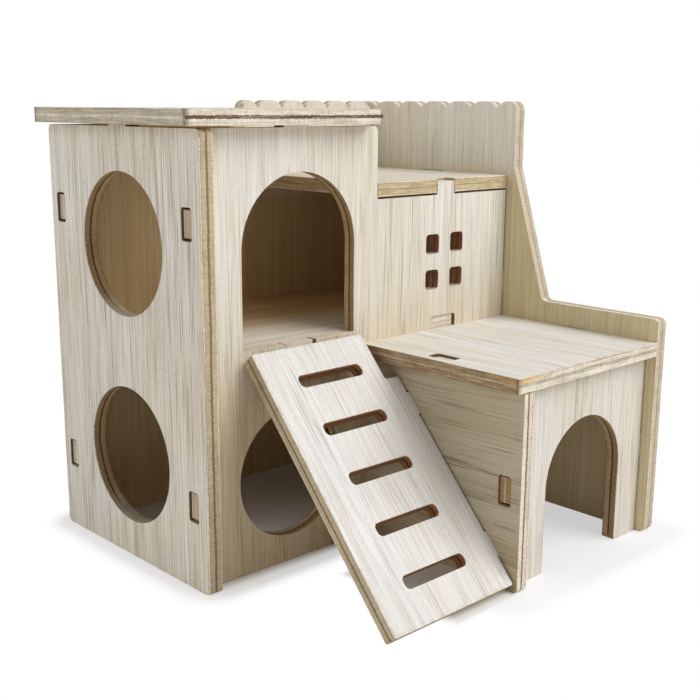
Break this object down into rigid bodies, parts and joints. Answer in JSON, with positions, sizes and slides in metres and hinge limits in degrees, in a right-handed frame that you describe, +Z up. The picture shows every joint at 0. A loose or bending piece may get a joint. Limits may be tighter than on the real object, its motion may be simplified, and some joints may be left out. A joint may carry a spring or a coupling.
{
  "type": "hamster house",
  "caption": "Slot-together plywood hamster house: tower with round holes and arched door, slotted ramp, hut with arched door, scalloped parapet.",
  "frame": {"origin": "on the ground, below the middle of the overall box", "axes": "+Z up, +X to the right along the front, +Y to the back"},
  "size_m": [0.1744, 0.1686, 0.1695],
  "materials": {
    "wall_ply": "matt whitewashed plywood",
    "level_ply": "matt whitewashed plywood",
    "hut_ply": "matt whitewashed plywood",
    "ramp_ply": "matt whitewashed plywood"
  },
  "bodies": {
    "house": {"tower_side_panel": "wall_ply", "front_panel": "wall_ply", "back_panel": "wall_ply", "right_side_panel": "wall_ply", "upper_floor": "level_ply", "mid_roof": "level_ply", "hut_side_wall": "hut_ply", "hut_front_wall": "hut_ply", "hut_roof": "level_ply"},
    "roof_lid": {"tower_roof": "level_ply"},
    "ramp_board": {"ramp": "ramp_ply"}
  },
  "joints": [
    {"name": "roof_lift_off", "type": "slide", "parent": "house", "child": "roof_lid", "axis": [0, 0, 1], "range_m": [0, 0.06]},
    {"name": "ramp_pull_out", "type": "slide", "parent": "house", "child": "ramp_board", "axis": [-1, 0, 0], "range_m": [0, 0.014]}
  ]
}
